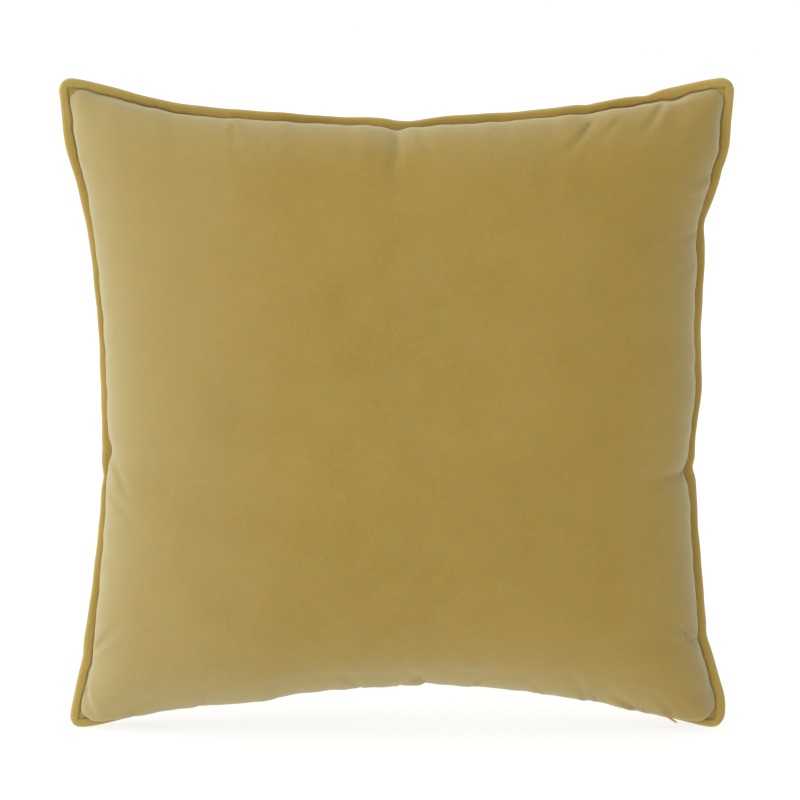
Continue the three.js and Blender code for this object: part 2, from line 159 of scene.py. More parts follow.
def side_inset(along, half, offset):
    """How far a side with a 32 mm waist pulls in: that waist less the rise of a circle of
    WAIST_RADIUS over the middle part, then a cubic that starts with the circle's slope and ends
    level at the corner."""
    radius = WAIST_RADIUS + offset
    arc_half = WAIST_HALF * radius / WAIST_RADIUS
    place = np.abs(along)
    inner = np.minimum(place, arc_half)
    arc = WAIST["bottom"] - radius + np.sqrt(radius**2 - inner**2)
    end = WAIST["bottom"] - radius + math.sqrt(radius**2 - arc_half**2)
    span = half - arc_half
    slope = -arc_half / math.sqrt(radius**2 - arc_half**2) * span
    t = np.clip((place - arc_half) / span, 0, 1)
    curve = ((2 * t - 3) * t * t + 1) * end + (((t - 2) * t + 1) * t) * slope
    return np.where(place <= arc_half, arc, curve)


def eased_dips(side, along, at_seam):
    """Sum of the side's dips, each a bell: depth over one plus the square of distance by width,
    squared. The depth goes from the fold's to the seam's as at_seam goes from 0 to 1. The seam
    also has a small wave, of three sines that don't repeat together."""
    total = np.zeros_like(along)
    for name, place, at_its_seam, at_its_fold, width in DIPS:
        if name == side:
            depth = at_its_fold + (at_its_seam - at_its_fold) * at_seam
            total = total + depth / (1 + ((along - place) / width) ** 2) ** 2
    start = SIDES.index(side) * 1.7
    wave = np.sin(along * 210 + start) + np.sin(along * 341 + 2 * start)
    wave = wave + 0.8 * np.sin(along * 527 + 3 * start)
    return total + SEAM_WAVE * at_seam * wave


def pull_in(side, along, half, offset):
    """A side's inset with its own dips, which fade out at the corners."""
    fade = 1 - np.clip(np.abs(along) / half, 0, 1) ** 12
    share = WAIST[side] / WAIST["bottom"]
    at_seam = min(offset / FLANGE_WIDTH, 1)
    return side_inset(along, half, offset) * share + eased_dips(side, along, at_seam) * fade


def rounded_corner(x, z, u, v, radius):
    """Points near a corner drawn in from a square of that radius to its quarter circle: each
    coordinate, from the circle's centre, times the root of one less half the other's square."""
    from_x = np.clip(1 - (1 - np.abs(u)) * SEAM_HALF_X / radius, 0, 1)
    from_z = np.clip(1 - (1 - np.abs(v)) * SEAM_HALF_Z / radius, 0, 1)
    x = x - np.sign(u) * radius * from_x * (1 - np.sqrt(1 - from_z**2 / 2))
    z = z - np.sign(v) * radius * from_z * (1 - np.sqrt(1 - from_x**2 / 2))
    return x, z


def face_point(u, v, offset):
    """x and z of a point of the face, u and v from -1 to 1: each row runs from the left side's
    outline to the right one's, and each column from the lower side's to the upper one's."""
    half_u = SEAM_HALF_X + FLANGE_WIDTH - offset
    half_v = SEAM_HALF_Z + FLANGE_WIDTH - offset
    left = pull_in("left", v * half_v, half_v, offset) - half_u
    right = half_u - pull_in("right", v * half_v, half_v, offset)
    low = pull_in("bottom", u * half_u, half_u, offset) - half_v
    high = half_v - pull_in("top", u * half_u, half_u, offset)
    x = left + (right - left) * (u + 1) / 2
    z = CENTRE_Z + low + (high - low) * (v + 1) / 2
    return rounded_corner(x, z, u, v, SEAM_CORNER)


# ---- meshes ----


def grid_faces(rows, columns, wrap_rows=False, wrap_columns=False):
    """Four-sided faces of a grid of points, row by row."""
    i = np.arange(rows if wrap_rows else rows - 1)
    j = np.arange(columns if wrap_columns else columns - 1)
    i, j = np.meshgrid(i, j, indexing="ij")
    down, across = (i + 1) % rows, (j + 1) % columns
    corners = (i * columns + j, i * columns + across, down * columns + across, down * columns + j)
    return np.stack(corners, axis=-1).reshape(-1, 4)


def make_piece(name, points, faces, material):
    """A smooth-shaded mesh object with its place in its mesh."""
    mesh = bpy.data.meshes.new(name)
    mesh.from_pydata(points.tolist(), [], faces.tolist())
    mesh.polygons.foreach_set("use_smooth", np.ones(len(mesh.polygons), bool))
    mesh.materials.append(material)
    piece = bpy.data.objects.new(name, mesh)
    bpy.context.scene.collection.objects.link(piece)
    return piece


def signed_volume(points, faces):
    """Sum over four-sided faces of the volume between each half and the origin."""
    a, b, c, d = (points[faces[:, k]] for k in range(4))
    halves = np.einsum("ij,ij->i", a, np.cross(b, c)) + np.einsum("ij,ij->i", a, np.cross(c, d))
    return halves.sum() / 6


def turned_out(points, faces):
    """The faces, reversed if their closed surface is inside out."""
    return faces if signed_volume(points, faces) > 0 else faces[:, ::-1]


def swept_piece(name, sections, material, closed=False):
    """A closed body through an array of sections (section, point, xyz), each a loop. An open
    sweep is closed at both ends by a fan that shrinks its last section to that section's middle."""
    if not closed:
        middles = sections.mean(axis=1, keepdims=True).repeat(sections.shape[1], axis=1)
        sections = np.concatenate((middles[:1], sections, middles[-1:]))
    rows, columns = sections.shape[:2]
    points = sections.reshape(-1, 3)
    faces = turned_out(points, grid_faces(rows, columns, wrap_rows=closed, wrap_columns=True))
    piece = make_piece(name, points, faces, material)
    merge_doubles(piece)
    return piece


def merge_doubles(piece, distance=1e-6):
    """Joins points that lie on each other, which closes poles and end fans."""
    work = bmesh.new()
    work.from_mesh(piece.data)
    bmesh.ops.remove_doubles(work, verts=work.verts, dist=distance)
    work.to_mesh(piece.data)
    work.free()


def show(piece, body, node):
    """Puts a piece on its body and in place of the plain node."""
    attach(piece, body)
    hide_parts(node)


# ---- materials ----


def new_material(name):
    """A material with its nodes, its links and one Principled shader."""
    material = bpy.data.materials.new(name)
    material.use_nodes = True
    nodes, links = material.node_tree.nodes, material.node_tree.links
    nodes.clear()
    output = nodes.new("ShaderNodeOutputMaterial")
    shader = nodes.new("ShaderNodeBsdfPrincipled")
    links.new(shader.outputs["BSDF"], output.inputs["Surface"])
    return material, nodes, links, shader


def object_noise(nodes, links, scale, detail=2.0, stretch=(1, 1, 1)):
    """Noise on Object coordinates, stretched along the axes."""
    place = nodes.new("ShaderNodeTexCoord")
    mapping = nodes.new("ShaderNodeMapping")
    mapping.inputs["Scale"].default_value = stretch
    noise = nodes.new("ShaderNodeTexNoise")
    noise.inputs["Scale"].default_value = scale
    noise.inputs["Detail"].default_value = detail
    links.new(place.outputs["Object"], mapping.inputs["Vector"])
    links.new(mapping.outputs["Vector"], noise.inputs["Vector"])
    return noise.outputs["Fac"]


def mixed(nodes, links, factor, low, high):
    """Colour between low and high by a factor; either may be a colour or a socket."""
    mix = nodes.new("ShaderNodeMix")
    mix.data_type = "RGBA"
    links.new(factor, mix.inputs["Factor"])
    for socket, value in ((mix.inputs["A"], low), (mix.inputs["B"], high)):
        if isinstance(value, tuple):
            socket.default_value = (*value, 1)
        else:
            links.new(value, socket)
    return mix.outputs["Result"]


def mapped(nodes, links, value, low, high, to_low=0.0, to_high=1.0):
    """A value's range low..high carried to to_low..to_high."""
    node = nodes.new("ShaderNodeMapRange")
    node.inputs["From Min"].default_value = low
    node.inputs["From Max"].default_value = high
    node.inputs["To Min"].default_value = to_low
    node.inputs["To Max"].default_value = to_high
    links.new(value, node.inputs["Value"])
    return node.outputs["Result"]


def bumped(nodes, links, shader, heights):
    """Bump from (height socket, distance, strength) entries, one laid over another."""
    normal = None
    for height, distance, strength in heights:
        bump = nodes.new("ShaderNodeBump")
        bump.inputs["Distance"].default_value = distance
        bump.inputs["Strength"].default_value = strength
        links.new(height, bump.inputs["Height"])
        if normal is not None:
            links.new(normal, bump.inputs["Normal"])
        normal = bump.outputs["Normal"]
    links.new(normal, shader.inputs["Normal"])


def velvet_material(name, deep_and_painted_shade, mid, light, warm, green, painted_highlight, sheen, painted_side_shading):
    """Cut velvet: broad patches where the nap lies one way or the other, finer brushed marks,
    the weave of its ground showing faintly through, and single tufts of pile. Painted light: a
    painted sheen, paler towards grazing angles, and the left side painted lighter and the right
    side painted darker, as the key light from the upper left falls. Each layer is a value, the
    range over which it grows, its most and its colour."""
    material, nodes, links, shader = new_material(name)
    patches = object_noise(nodes, links, 9, 3)
    cloudy = object_noise(nodes, links, 28, 5)
    mottled = object_noise(nodes, links, 95, 3, (1, 1, 1.3))
    brushed = mapped(nodes, links, object_noise(nodes, links, 130, 4), 0.3, 0.7)
    ground_x = object_noise(nodes, links, 55, 2, (1, 1, 12))
    ground_z = object_noise(nodes, links, 55, 2, (12, 1, 1))
    pile = object_noise(nodes, links, 700, 3)
    fleck = object_noise(nodes, links, 330, 3, (1, 1, 1.6))
    place = nodes.new("ShaderNodeTexCoord")
    across = nodes.new("ShaderNodeSeparateXYZ")
    links.new(place.outputs["Object"], across.inputs["Vector"])
    painted_sheen_facing = nodes.new("ShaderNodeLayerWeight")
    painted_sheen_facing.inputs["Blend"].default_value = 0.5

    base = mixed(nodes, links, mapped(nodes, links, patches, 0.36, 0.64, 0.1, 0.9), deep_and_painted_shade, mid)
    for value, low, high, most, colour in (
        (cloudy, 0.34, 0.66, 0.36, light),
        (mottled, 0.50, 0.72, 0.34, warm),
        (mottled, 0.50, 0.28, 0.40, green),
        (brushed, 0, 1, 0.16, light),
        (ground_x, 0.3, 0.7, 0.16, deep_and_painted_shade),
        (ground_z, 0.3, 0.7, 0.14, light),
        (pile, 0.35, 0.65, 0.28, deep_and_painted_shade),
        (fleck, 0.46, 0.66, 0.30, warm),
        (fleck, 0.54, 0.34, 0.36, green),
        # painted light: the left side paled towards the painted highlight, as the key light from the
        # upper left falls there
        (across.outputs["X"], -0.06, -0.22, painted_side_shading, painted_highlight),
        # painted shade: the right side darkened towards the deep tone, away from the key light
        (across.outputs["X"], 0.02, 0.22, painted_side_shading, deep_and_painted_shade),
        # painted sheen: the colour paled towards the painted highlight at grazing angles, by the Layer
        # Weight's facing
        (painted_sheen_facing.outputs["Facing"], 0.06, 0.85, 0.62, painted_highlight),
    ):
        base = mixed(nodes, links, mapped(nodes, links, value, low, high, 0.0, most), base, colour)
    links.new(base, shader.inputs["Base Color"])
    links.new(mapped(nodes, links, brushed, 0, 1, 0.78, 0.95), shader.inputs["Roughness"])
    shader.inputs["Specular IOR Level"].default_value = 0.12
    shader.inputs["Sheen Weight"].default_value = sheen
    shader.inputs["Sheen Roughness"].default_value = 0.5
    shader.inputs["Sheen Tint"].default_value = (0.95, 1.0, 0.82, 1)
    bumped(nodes, links, shader, (
        (pile, 0.0007, 0.45),
        (ground_x, 0.0006, 0.12),
        (ground_z, 0.0006, 0.12),
        (brushed, 0.0012, 0.06),
    ))
    return material


def woven_material(name, colour, shade, threads, sheen=0.1, roughness=0.8):
    """Plain cloth: crossing rows of threads, as waves across two axes, with uneven dye."""
    material, nodes, links, shader = new_material(name)
    rows = []
    for direction in ("X", "Z"):
        place = nodes.new("ShaderNodeTexCoord")
        wave = nodes.new("ShaderNodeTexWave")
        wave.bands_direction = direction
        wave.inputs["Scale"].default_value = threads
        wave.inputs["Distortion"].default_value = 0.6
        links.new(place.outputs["Object"], wave.inputs["Vector"])
        rows.append(wave.outputs["Fac"])
    dye = object_noise(nodes, links, 60, 4)
    base = mixed(nodes, links, mapped(nodes, links, dye, 0.3, 0.7, 0, 0.6), colour, shade)
    base = mixed(nodes, links, mapped(nodes, links, rows[0], 0, 1, 0.25, 0), base, shade)
    links.new(base, shader.inputs["Base Color"])
    links.new(mapped(nodes, links, dye, 0.3, 0.7, roughness - 0.1, roughness + 0.1),
              shader.inputs["Roughness"])
    shader.inputs["Sheen Weight"].default_value = sheen
    bumped(nodes, links, shader, ((rows[0], 0.0002, 0.4), (rows[1], 0.0002, 0.4)))
    return material


def lacquer_material(name, colour, worn):
    """Lacquered zinc: even colour, worn pale in places, with fine scratches in its gloss."""
    material, nodes, links, shader = new_material(name)
    wear = mapped(nodes, links, object_noise(nodes, links, 500, 5), 0.55, 0.75)
    links.new(mixed(nodes, links, wear, colour, worn), shader.inputs["Base Color"])
    scratches = object_noise(nodes, links, 300, 3, (1, 1, 9))
    links.new(mapped(nodes, links, scratches, 0.3, 0.7, 0.26, 0.48), shader.inputs["Roughness"])
    shader.inputs["Metallic"].default_value = 0.75
    bumped(nodes, links, shader, ((scratches, 0.0001, 0.15),))
    return material


# Colours: deep tone (also the painted shade on the right), mid, light, warm, green, painted highlight
# (painted sheen and painted light on the left); then the shader's sheen weight and the strength of the
# painted side light and shade.
VELVET_FACE = velvet_material(
    "mustard_velvet", (0.290, 0.188, 0.036), (0.370, 0.228, 0.046), (0.41, 0.300, 0.090),
    (0.44, 0.250, 0.045), (0.32, 0.255, 0.058), (0.44, 0.385, 0.205), 0.35, 0.34)
VELVET_TRIM = velvet_material(
    "flange_velvet", (0.34, 0.225, 0.046), (0.46, 0.310, 0.072), (0.50, 0.37, 0.115),
    (0.50, 0.31, 0.070), (0.40, 0.31, 0.085), (0.52, 0.44, 0.20), 0.22, 0.06)
TAPE = woven_material("zip_tape", (0.30, 0.20, 0.055), (0.20, 0.13, 0.035), 900)
COIL = woven_material("zip_coil_nylon", (0.36, 0.24, 0.06), (0.26, 0.17, 0.04), 400, 0.0, 0.45)
LACQUER = lacquer_material("golden_lacquer", (0.72, 0.42, 0.045), (0.80, 0.62, 0.26))
TICKING = woven_material("ticking_cotton", (0.82, 0.80, 0.74), (0.70, 0.68, 0.62), 1200)
FILL = woven_material("feather_fill", (0.90, 0.88, 0.84), (0.78, 0.75, 0.70), 90, 0.4, 0.95)
RIBBON = woven_material("label_satin", (0.86, 0.86, 0.85), (0.74, 0.74, 0.73), 1500, 0.3, 0.4)

# ---- panels ----

PANEL_CELLS = 88                # cells across each panel
GRID = PANEL_CELLS + 1          # points across it
CUT_SIDE = 0.480                # side of the panel as cut, between its seams
SIM_FRAMES = 26
PRESSURE = 3.2


def grid_places():
    """u and v of the panel's grid points, both even from -1 to 1."""
    s = np.linspace(-1, 1, GRID)
    v, u = np.meshgrid(s, s, indexing="ij")
    return u, v


def panel_grid(side):
    """A panel before it is filled, as it was cut, and which points its seam holds. Before it is
    filled it is the face outline between the seams, domed as an ellipse across and up. Points
    are even along the seams and crowd towards them in the middle, so that every cell starts
    near the size it was cut to."""
    u, v = grid_places()

    def eased(along, across):
        """Even places at the seams, and in the middle places by the sine of a quarter turn."""
        even = np.abs(across) ** 4
        return along * even + np.sin(along * math.pi / 2) * (1 - even)

    eu, ev = eased(u, v), eased(v, u)
    x, z = face_point(eu, ev, FLANGE_WIDTH)
    rise = CROWN * np.sqrt(np.clip((1 - eu**2) * (1 - ev**2), 0, 1))
    y = side * (edge_depth(side, u, v) + rise)
    cut_x, cut_z = u * CUT_SIDE / 2, v * CUT_SIDE / 2 + CENTRE_Z
    cut = np.stack((cut_x, np.full_like(u, side * 0.01), cut_z), -1)
    at_edge = np.maximum(abs(u), abs(v)) > 0.9999
    return np.stack((x, y, z), -1).reshape(-1, 3), cut.reshape(-1, 3), at_edge.ravel()


def edge_depth(side, u, v):
    """Depth of a panel's edge from the seam plane. It clears the flange. Behind the lower edge
    it also clears the zip, and past the zip's ends a cubic step closes it on the flange."""
    depth = FLANGE_HALF + GAP + CORNER_SWELL * np.abs(u * v) ** 16
    if side > 0:
        past_end = np.clip((np.abs(u) - ZIP_CLOSE_FROM) / ZIP_CLOSE, 0, 1)
        over_zip = (1 - past_end**2 * (3 - 2 * past_end)) * np.clip(-v, 0, 1) ** 2
        depth = depth + (ZIP_BACK - FLANGE_HALF - GAP) * over_zip
    return depth


def panel_faces(side):
    """The grid's faces, turned to point away from the seam plane."""
    faces = grid_faces(GRID, GRID)
    return faces if side < 0 else faces[:, ::-1]


def filled_out(name, start, cut, pinned, side):
    """The panel blown up as cloth: its edge is held at the seam, its springs have the length it
    was cut to, and pressure pushes it outwards."""
    work = make_piece(name, start, panel_faces(side), VELVET_FACE)
    work.shape_key_add(name="domed")
    flat = work.shape_key_add(name="as_cut")
    flat.data.foreach_set("co", cut.ravel())
    held = work.vertex_groups.new(name="seam")
    held.add(np.flatnonzero(pinned).tolist(), 1.0, "REPLACE")
    cloth = work.modifiers.new("filling", "CLOTH")
    settings = cloth.settings
    settings.quality = 8
    settings.mass = 0.35
    settings.air_damping = 4
    settings.tension_stiffness = 30
    settings.compression_stiffness = 30
    settings.shear_stiffness = 12
    settings.bending_stiffness = 0.6
    settings.tension_damping = 15
    settings.compression_damping = 15
    settings.shear_damping = 10
    settings.vertex_group_mass = "seam"
    settings.rest_shape_key = flat
    settings.use_pressure = True
    settings.uniform_pressure_force = PRESSURE
    settings.effector_weights.gravity = 0
    cloth.collision_settings.use_collision = False
    cloth.collision_settings.use_self_collision = False
    scene = bpy.context.scene
    cloth.point_cache.frame_start, cloth.point_cache.frame_end = 1, SIM_FRAMES
    for step in range(1, SIM_FRAMES + 1):
        scene.frame_set(step)
    done = work.evaluated_get(bpy.context.evaluated_depsgraph_get()).data
    points = np.empty(len(done.vertices) * 3)
    done.vertices.foreach_get("co", points)
    scene.frame_set(1)
    bpy.data.objects.remove(work)
    return points.reshape(-1, 3)


def plumped(points, side):
    """The filled panel made as steep at its seams as a stuffed cover is. Depth beyond the edge,
    over the crown, is raised to a power: 0.55 over the middle and sides, rising to 0.85 at the
    corners. Then the cloth swells out over the flange, by a half sine of the depth that is
    strongest a quarter of the way up and fades towards the corners."""
    u, v = (places.ravel() for places in grid_places())
    edge = edge_depth(side, u, v)
    rise = np.maximum(side * points[:, 1] - edge, 0)
    power = 0.55 + 0.30 * (u * v) ** 2
    rise = CROWN * np.minimum(rise / rise.max(), 1) ** power
    low = np.clip(-v, 0, 1) ** 6 * u**4
    swell = np.sin(np.clip(rise / (0.5 * CROWN * (1 - 0.6 * low)), 0, 1) * math.pi)
    full = points.copy()
    full[:, 1] = side * (edge + rise)
    fade_u, fade_v = 1 - np.abs(v) ** 5, 1 - np.abs(u) ** 5
    near = {"left": np.clip(-u, 0, 1) ** 6 * fade_u, "right": np.clip(u, 0, 1) ** 6 * fade_u,
            "bottom": np.clip(-v, 0, 1) ** 6 * (1 - np.abs(u) ** 20),
            "top": np.clip(v, 0, 1) ** 6 * fade_v}
    shift = {name: OVERHANG[name] * swell * near[name] for name in SIDES}
    shift["bottom"] = shift["bottom"] + CORNER_SLUMP * swell * low * (1 - np.abs(u) ** 24)
    full[:, 0] += shift["right"] - shift["left"]
    full[:, 2] += shift["top"] - shift["bottom"]
    return full


def furrowed(points, mirror=1):
    """Points moved in along y by each furrow: over its length the depth fades and the width
    grows, and across it a dip with a low ridge on both sides, as 1 - 1.1 s squared by the bell
    exp(-s squared)."""
    x, y, z = points[:, 0] * mirror, points[:, 1].copy(), points[:, 2]
    pressed = np.zeros_like(x)
    for start, end, depth, width in FURROWS:
        run = np.subtract(end, start)
        length = np.hypot(*run)
        from_x, from_z = x - start[0], z - start[1]
        along = (from_x * run[0] + from_z * run[1]) / length**2
        across = (from_x * run[1] - from_z * run[0]) / length
        bend = 0.0012 * np.sin(along * 4 + start[0] * 90)
        s = (across + bend) / (width * (0.55 + 0.75 * np.clip(along, 0, 1.2)))
        fade = np.clip(1.15 - along, 0, 1) ** 1.5 * np.clip(1 + along * 6, 0, 1)
        pressed += depth * fade * (1 - 1.1 * s**2) * np.exp(-(s**2))
    result = points.copy()
    result[:, 1] = np.sign(y) * np.maximum(np.abs(y) - pressed, FLANGE_HALF + 0.0004)
    return result


def puckered(points):
    """Small gathers where the cloth leaves the seam: sines along it, that move points along y
    and fade over the first part of the rise, by its bell."""
    depth = np.abs(points[:, 1])
    x, z = points[:, 0], points[:, 2] - CENTRE_Z
    turn = np.arctan2(z, x)
    wave = np.sin(turn * 37) + np.sin(turn * 61 + 1) + 0.8 * np.sin(turn * 97 + 2)
    wave = wave * (0.6 + 0.4 * np.sin(turn * 7 + 1))
    start = FLANGE_HALF + 0.002
    fade = np.exp(-(((depth - 0.016) / 0.011) ** 2)) * np.clip((depth - start) / 0.004, 0, 1)
    result = points.copy()
    result[:, 1] += np.sign(points[:, 1]) * PUCKER * wave * fade
    return result


def applied(piece):
    """The piece with its modifiers worked into its mesh."""
    done = piece.evaluated_get(bpy.context.evaluated_depsgraph_get())
    mesh = bpy.data.meshes.new_from_object(done)
    piece.modifiers.clear()
    old = piece.data
    piece.data = mesh
    bpy.data.meshes.remove(old)


def mesh_points(piece):
    """The piece's points as an array."""
    points = np.empty(len(piece.data.vertices) * 3)
    piece.data.vertices.foreach_get("co", points)
    return points.reshape(-1, 3)


def make_panel(name, node, side):
    """A panel of the cover: its cloth filled out, smoothed, gathered, furrowed and given its
    thickness inwards. Returns the points of its filled grid."""
    points, cut, pinned = panel_grid(side)
    points = filled_out(name + "_work", points, cut, pinned, side)
    points = plumped(points, side)
    panel = make_piece(name, points, panel_faces(side), VELVET_FACE)
    smooth = panel.modifiers.new("smooth", "SUBSURF")
    smooth.levels = smooth.render_levels = 1
    smooth.boundary_smooth = "PRESERVE_CORNERS"
    applied(panel)
    pressed = furrowed(puckered(mesh_points(panel)), 1 if side < 0 else -1)
    pressed[:, 2] = np.maximum(pressed[:, 2], 0.0004)
    panel.data.vertices.foreach_set("co", pressed.ravel())
    panel.data.update()
    cloth = panel.modifiers.new("cloth", "SOLIDIFY")
    cloth.thickness, cloth.offset = VELVET, -1
    show(panel, "cover", node)
    return points


front_points = make_panel("front_velvet", "front_panel", -1)
back_points = make_panel("back_velvet", "back_panel", 1)

# ---- flange ----

FLANGE_STEPS = 170
MITRE_LAP = 0.0022              # how far the strips run into each other at the mitres


def flange_section():
    """The folded strip's section: two flat leaves that close in a half-round fold, with a groove
    along the seam, of a bell of its distance. The first column is how far out a point lies, from
    -1 (raw edge) over 0 (seam) to 1 (fold), the second its share of the half thickness."""
    leaf = np.array((-1, -0.5, -0.1, 0, 0.04, 0.08, 0.13, 0.2, 0.3, 0.42, 0.54, 0.66))
    groove = 1 - 0.42 * np.exp(-((np.maximum(leaf, 0) / 0.11) ** 2)) * (leaf >= 0)
    turn = np.radians(np.linspace(-90, 90, 13)[1:-1])
    out = np.concatenate((leaf, 0.66 + 0.34 * np.cos(turn), leaf[::-1]))
    return out, np.concatenate((-groove, np.sin(turn), groove[::-1]))


def flange_strip(side):
    """One side of the flange: the section carried along the seam from mitre to mitre, with the
    outer fold rounded at the corners and a slow wave in its width and lean."""
    upright = side in ("left", "right")
    seam_half = SEAM_HALF_Z if upright else SEAM_HALF_X
    half = seam_half + FLANGE_WIDTH
    share = np.sin(np.linspace(-1, 1, FLANGE_STEPS) * math.pi / 2)
    t = 0.6 * np.linspace(-1, 1, FLANGE_STEPS) + 0.4 * share
    t = np.concatenate(([-1], [-1 + 3e-4], t[1:-1], [1 - 3e-4], [1]))
    out, y_share = flange_section()

    round_from = 1 - CORNER_RADIUS / half
    turn = np.clip((np.abs(t) - round_from) / (1 - round_from), 0, 1) * math.pi / 4
    fold_along = np.where(turn > 0, np.sign(t) * (half - CORNER_RADIUS * (1 - np.sin(turn))), t * half)
    fold_in = pull_in(side, t * half, half, 0.0) + CORNER_RADIUS * (1 - np.cos(turn))
    seam_along = t * seam_half
    seam_in = FLANGE_WIDTH + pull_in(side, seam_along, seam_half, FLANGE_WIDTH)

    phase = {"bottom": 0.3, "right": 1.7, "top": 2.9, "left": 4.4}[side]
    calm = 1 - np.abs(t) ** 6
    wave = np.sin(t * 9 + phase) * 0.5 + np.sin(t * 23 + 2 * phase) * 0.3 + np.sin(t * 51 + phase) * 0.2
    fold_in = fold_in + 0.0007 * calm * wave
    lean = 0.0009 * calm * np.sin(t * 14 + 3 * phase)
    lean = -np.abs(lean) if side == "bottom" else lean

    outer = np.maximum(out, 0)[None, :]
    inner = np.minimum(out, 0)[None, :]
    along = seam_along[:, None] + (fold_along - seam_along)[:, None] * outer
    inward = seam_in[:, None] + (fold_in - seam_in)[:, None] * outer - SEAM_ALLOWANCE * inner
    along = along * (1 + SEAM_ALLOWANCE * inner / half)
    lap = MITRE_LAP * (1 - np.clip(outer, 0, 1)) + GAP
    along = along + lap * (t**60 * np.sign(t))[:, None]
    thick = FLANGE_HALF + CORNER_SWELL * (np.abs(t) ** 16)[:, None] * (outer > 0)
    puff = 1 + 0.12 * np.sin(np.clip(outer, 0, 1) * math.pi) - 0.10 * (t**60)[:, None]
    y = y_share[None, :] * thick * puff + lean[:, None] * outer
    top = 2 * SEAM_HALF_Z + seam_low.z + FLANGE_WIDTH
    if side == "bottom":
        points = (along, y, np.maximum(inward + seam_low.z - FLANGE_WIDTH, 0))
    elif side == "top":
        points = (along, y, top - inward)
    elif side == "left":
        points = (inward - SEAM_HALF_X - FLANGE_WIDTH, y, CENTRE_Z + along)
    else:
        points = (SEAM_HALF_X + FLANGE_WIDTH - inward, y, CENTRE_Z + along)
    strip = swept_piece(f"flange_{side}_velvet", np.stack(points, -1), VELVET_TRIM)
    show(strip, "cover", f"flange_{side}")


for flange_side in SIDES:
    flange_strip(flange_side)

# ---- insert ----

INSERT_SHARE = 0.955            # the insert's outline as a share of the seam's


def shrunk(points, side, outline, depth, gap):
    """A panel's points drawn in: x and height by outline, and depth by depth less a gap."""
    y = np.maximum(side * points[:, 1] * depth - gap, 0.0008)
    x = points[:, 0] * outline
    z = CENTRE_Z + (points[:, 2] - CENTRE_Z) * outline
    return np.stack((x, side * y, z), -1)


def ticking_panel(name, node, points, side):
    """The insert's cloth on one side, with its thickness inwards."""
    piece = make_piece(name, points, panel_faces(side), TICKING)
    cloth = piece.modifiers.new("cloth", "SOLIDIFY")
    cloth.thickness, cloth.offset = 0.0006, -1
    show(piece, "cover", node)


def edge_loop(points):
    """The outermost points of a panel's grid, once round."""
    grid = points.reshape(GRID, GRID, 3)
    return np.concatenate((grid[0, :-1], grid[:-1, -1], grid[-1, :0:-1], grid[:0:-1, 0]))


def corded_edge(points):
    """The cord round the insert's seam: a circle carried round its edge, just outside it, whose
    radius swells a little where the cord's strands cross under the cloth."""
    loop = edge_loop(points)
    loop[:, 1] = 0
    ahead = np.roll(loop, -1, axis=0) - np.roll(loop, 1, axis=0)
    out = np.cross(ahead, (0, 1, 0))
    out /= np.linalg.norm(out, axis=1, keepdims=True)
    middle = (0, 0, CENTRE_Z)
    out *= np.sign(np.einsum("ij,ij->i", out, loop - middle))[:, None]
    turn = np.linspace(0, 2 * math.pi, 12, endpoint=False)
    strands = 1 + 0.05 * np.sin(np.arange(len(loop)) * 2.1)[:, None] * np.sin(3 * turn)[None, :]
    radius = 0.0013 * strands
    centre = loop + out * 0.0018
    across = out[:, None, :] * (radius * np.cos(turn))[..., None]
    through = np.array((0, 1, 0)) * (radius * np.sin(turn))[..., None]
    cord = swept_piece("insert_cord", centre[:, None, :] + across + through, TICKING, closed=True)
    show(cord, "cover", "insert_piping")


def feather_fill(front, back):
    """The fill: both panels' points drawn in further, with a slow lumpiness of sines, and joined
    round their shared edge."""
    bodies = []
    for points, side in ((front, -1), (back, 1)):
        drawn = shrunk(points, side, 0.93, 0.94, 0.006)
        edge = shrunk(edge_loop(points), side, 0.93, 0.94, 0.006)[:, 1]
        lump = np.sin(drawn[:, 0] * 90) * np.sin(drawn[:, 2] * 80 + 1) + np.sin(drawn[:, 0] * 41 + 2)
        rise = np.maximum(side * drawn[:, 1] - np.abs(edge).max(), 0)
        drawn[:, 1] = side * rise * (0.985 + 0.008 * lump)
        bodies.append(drawn)
    shape = bodies[0].reshape(GRID, GRID, 3)
    bodies[1].reshape(GRID, GRID, 3)[[0, -1]] = shape[[0, -1]]
    bodies[1].reshape(GRID, GRID, 3)[:, [0, -1]] = shape[:, [0, -1]]
    faces = np.concatenate((panel_faces(-1), panel_faces(1) + GRID * GRID))
    fill = make_piece("feather_fill", np.concatenate(bodies), faces, FILL)
    merge_doubles(fill)
    show(fill, "cover", "insert_fill")


def sewn_label(name, node, points, side, gap):
    """A blank ribbon label that lies along a panel: the patch of its points nearest the node, put
    off from the panel along y."""
    low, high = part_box(node)
    middle = (low + high) / 2
    grid = points.reshape(GRID, GRID, 3)
    rows = np.abs(grid[:, :, 2] - middle.z).mean(axis=1).argsort()[:6]
    column = np.abs(grid[rows.min(), :, 0] - middle.x).argmin()
    first = min(max(column - 2, 3), GRID - 8)
    patch = grid[rows.min():rows.max() + 1, first:first + 5].copy()
    patch[:, :, 1] += side * gap
    label = make_piece(name, patch.reshape(-1, 3), grid_faces(*patch.shape[:2]), RIBBON)
    cloth = label.modifiers.new("cloth", "SOLIDIFY")
    cloth.thickness, cloth.offset = 0.0004, 0
    show(label, "cover", node)


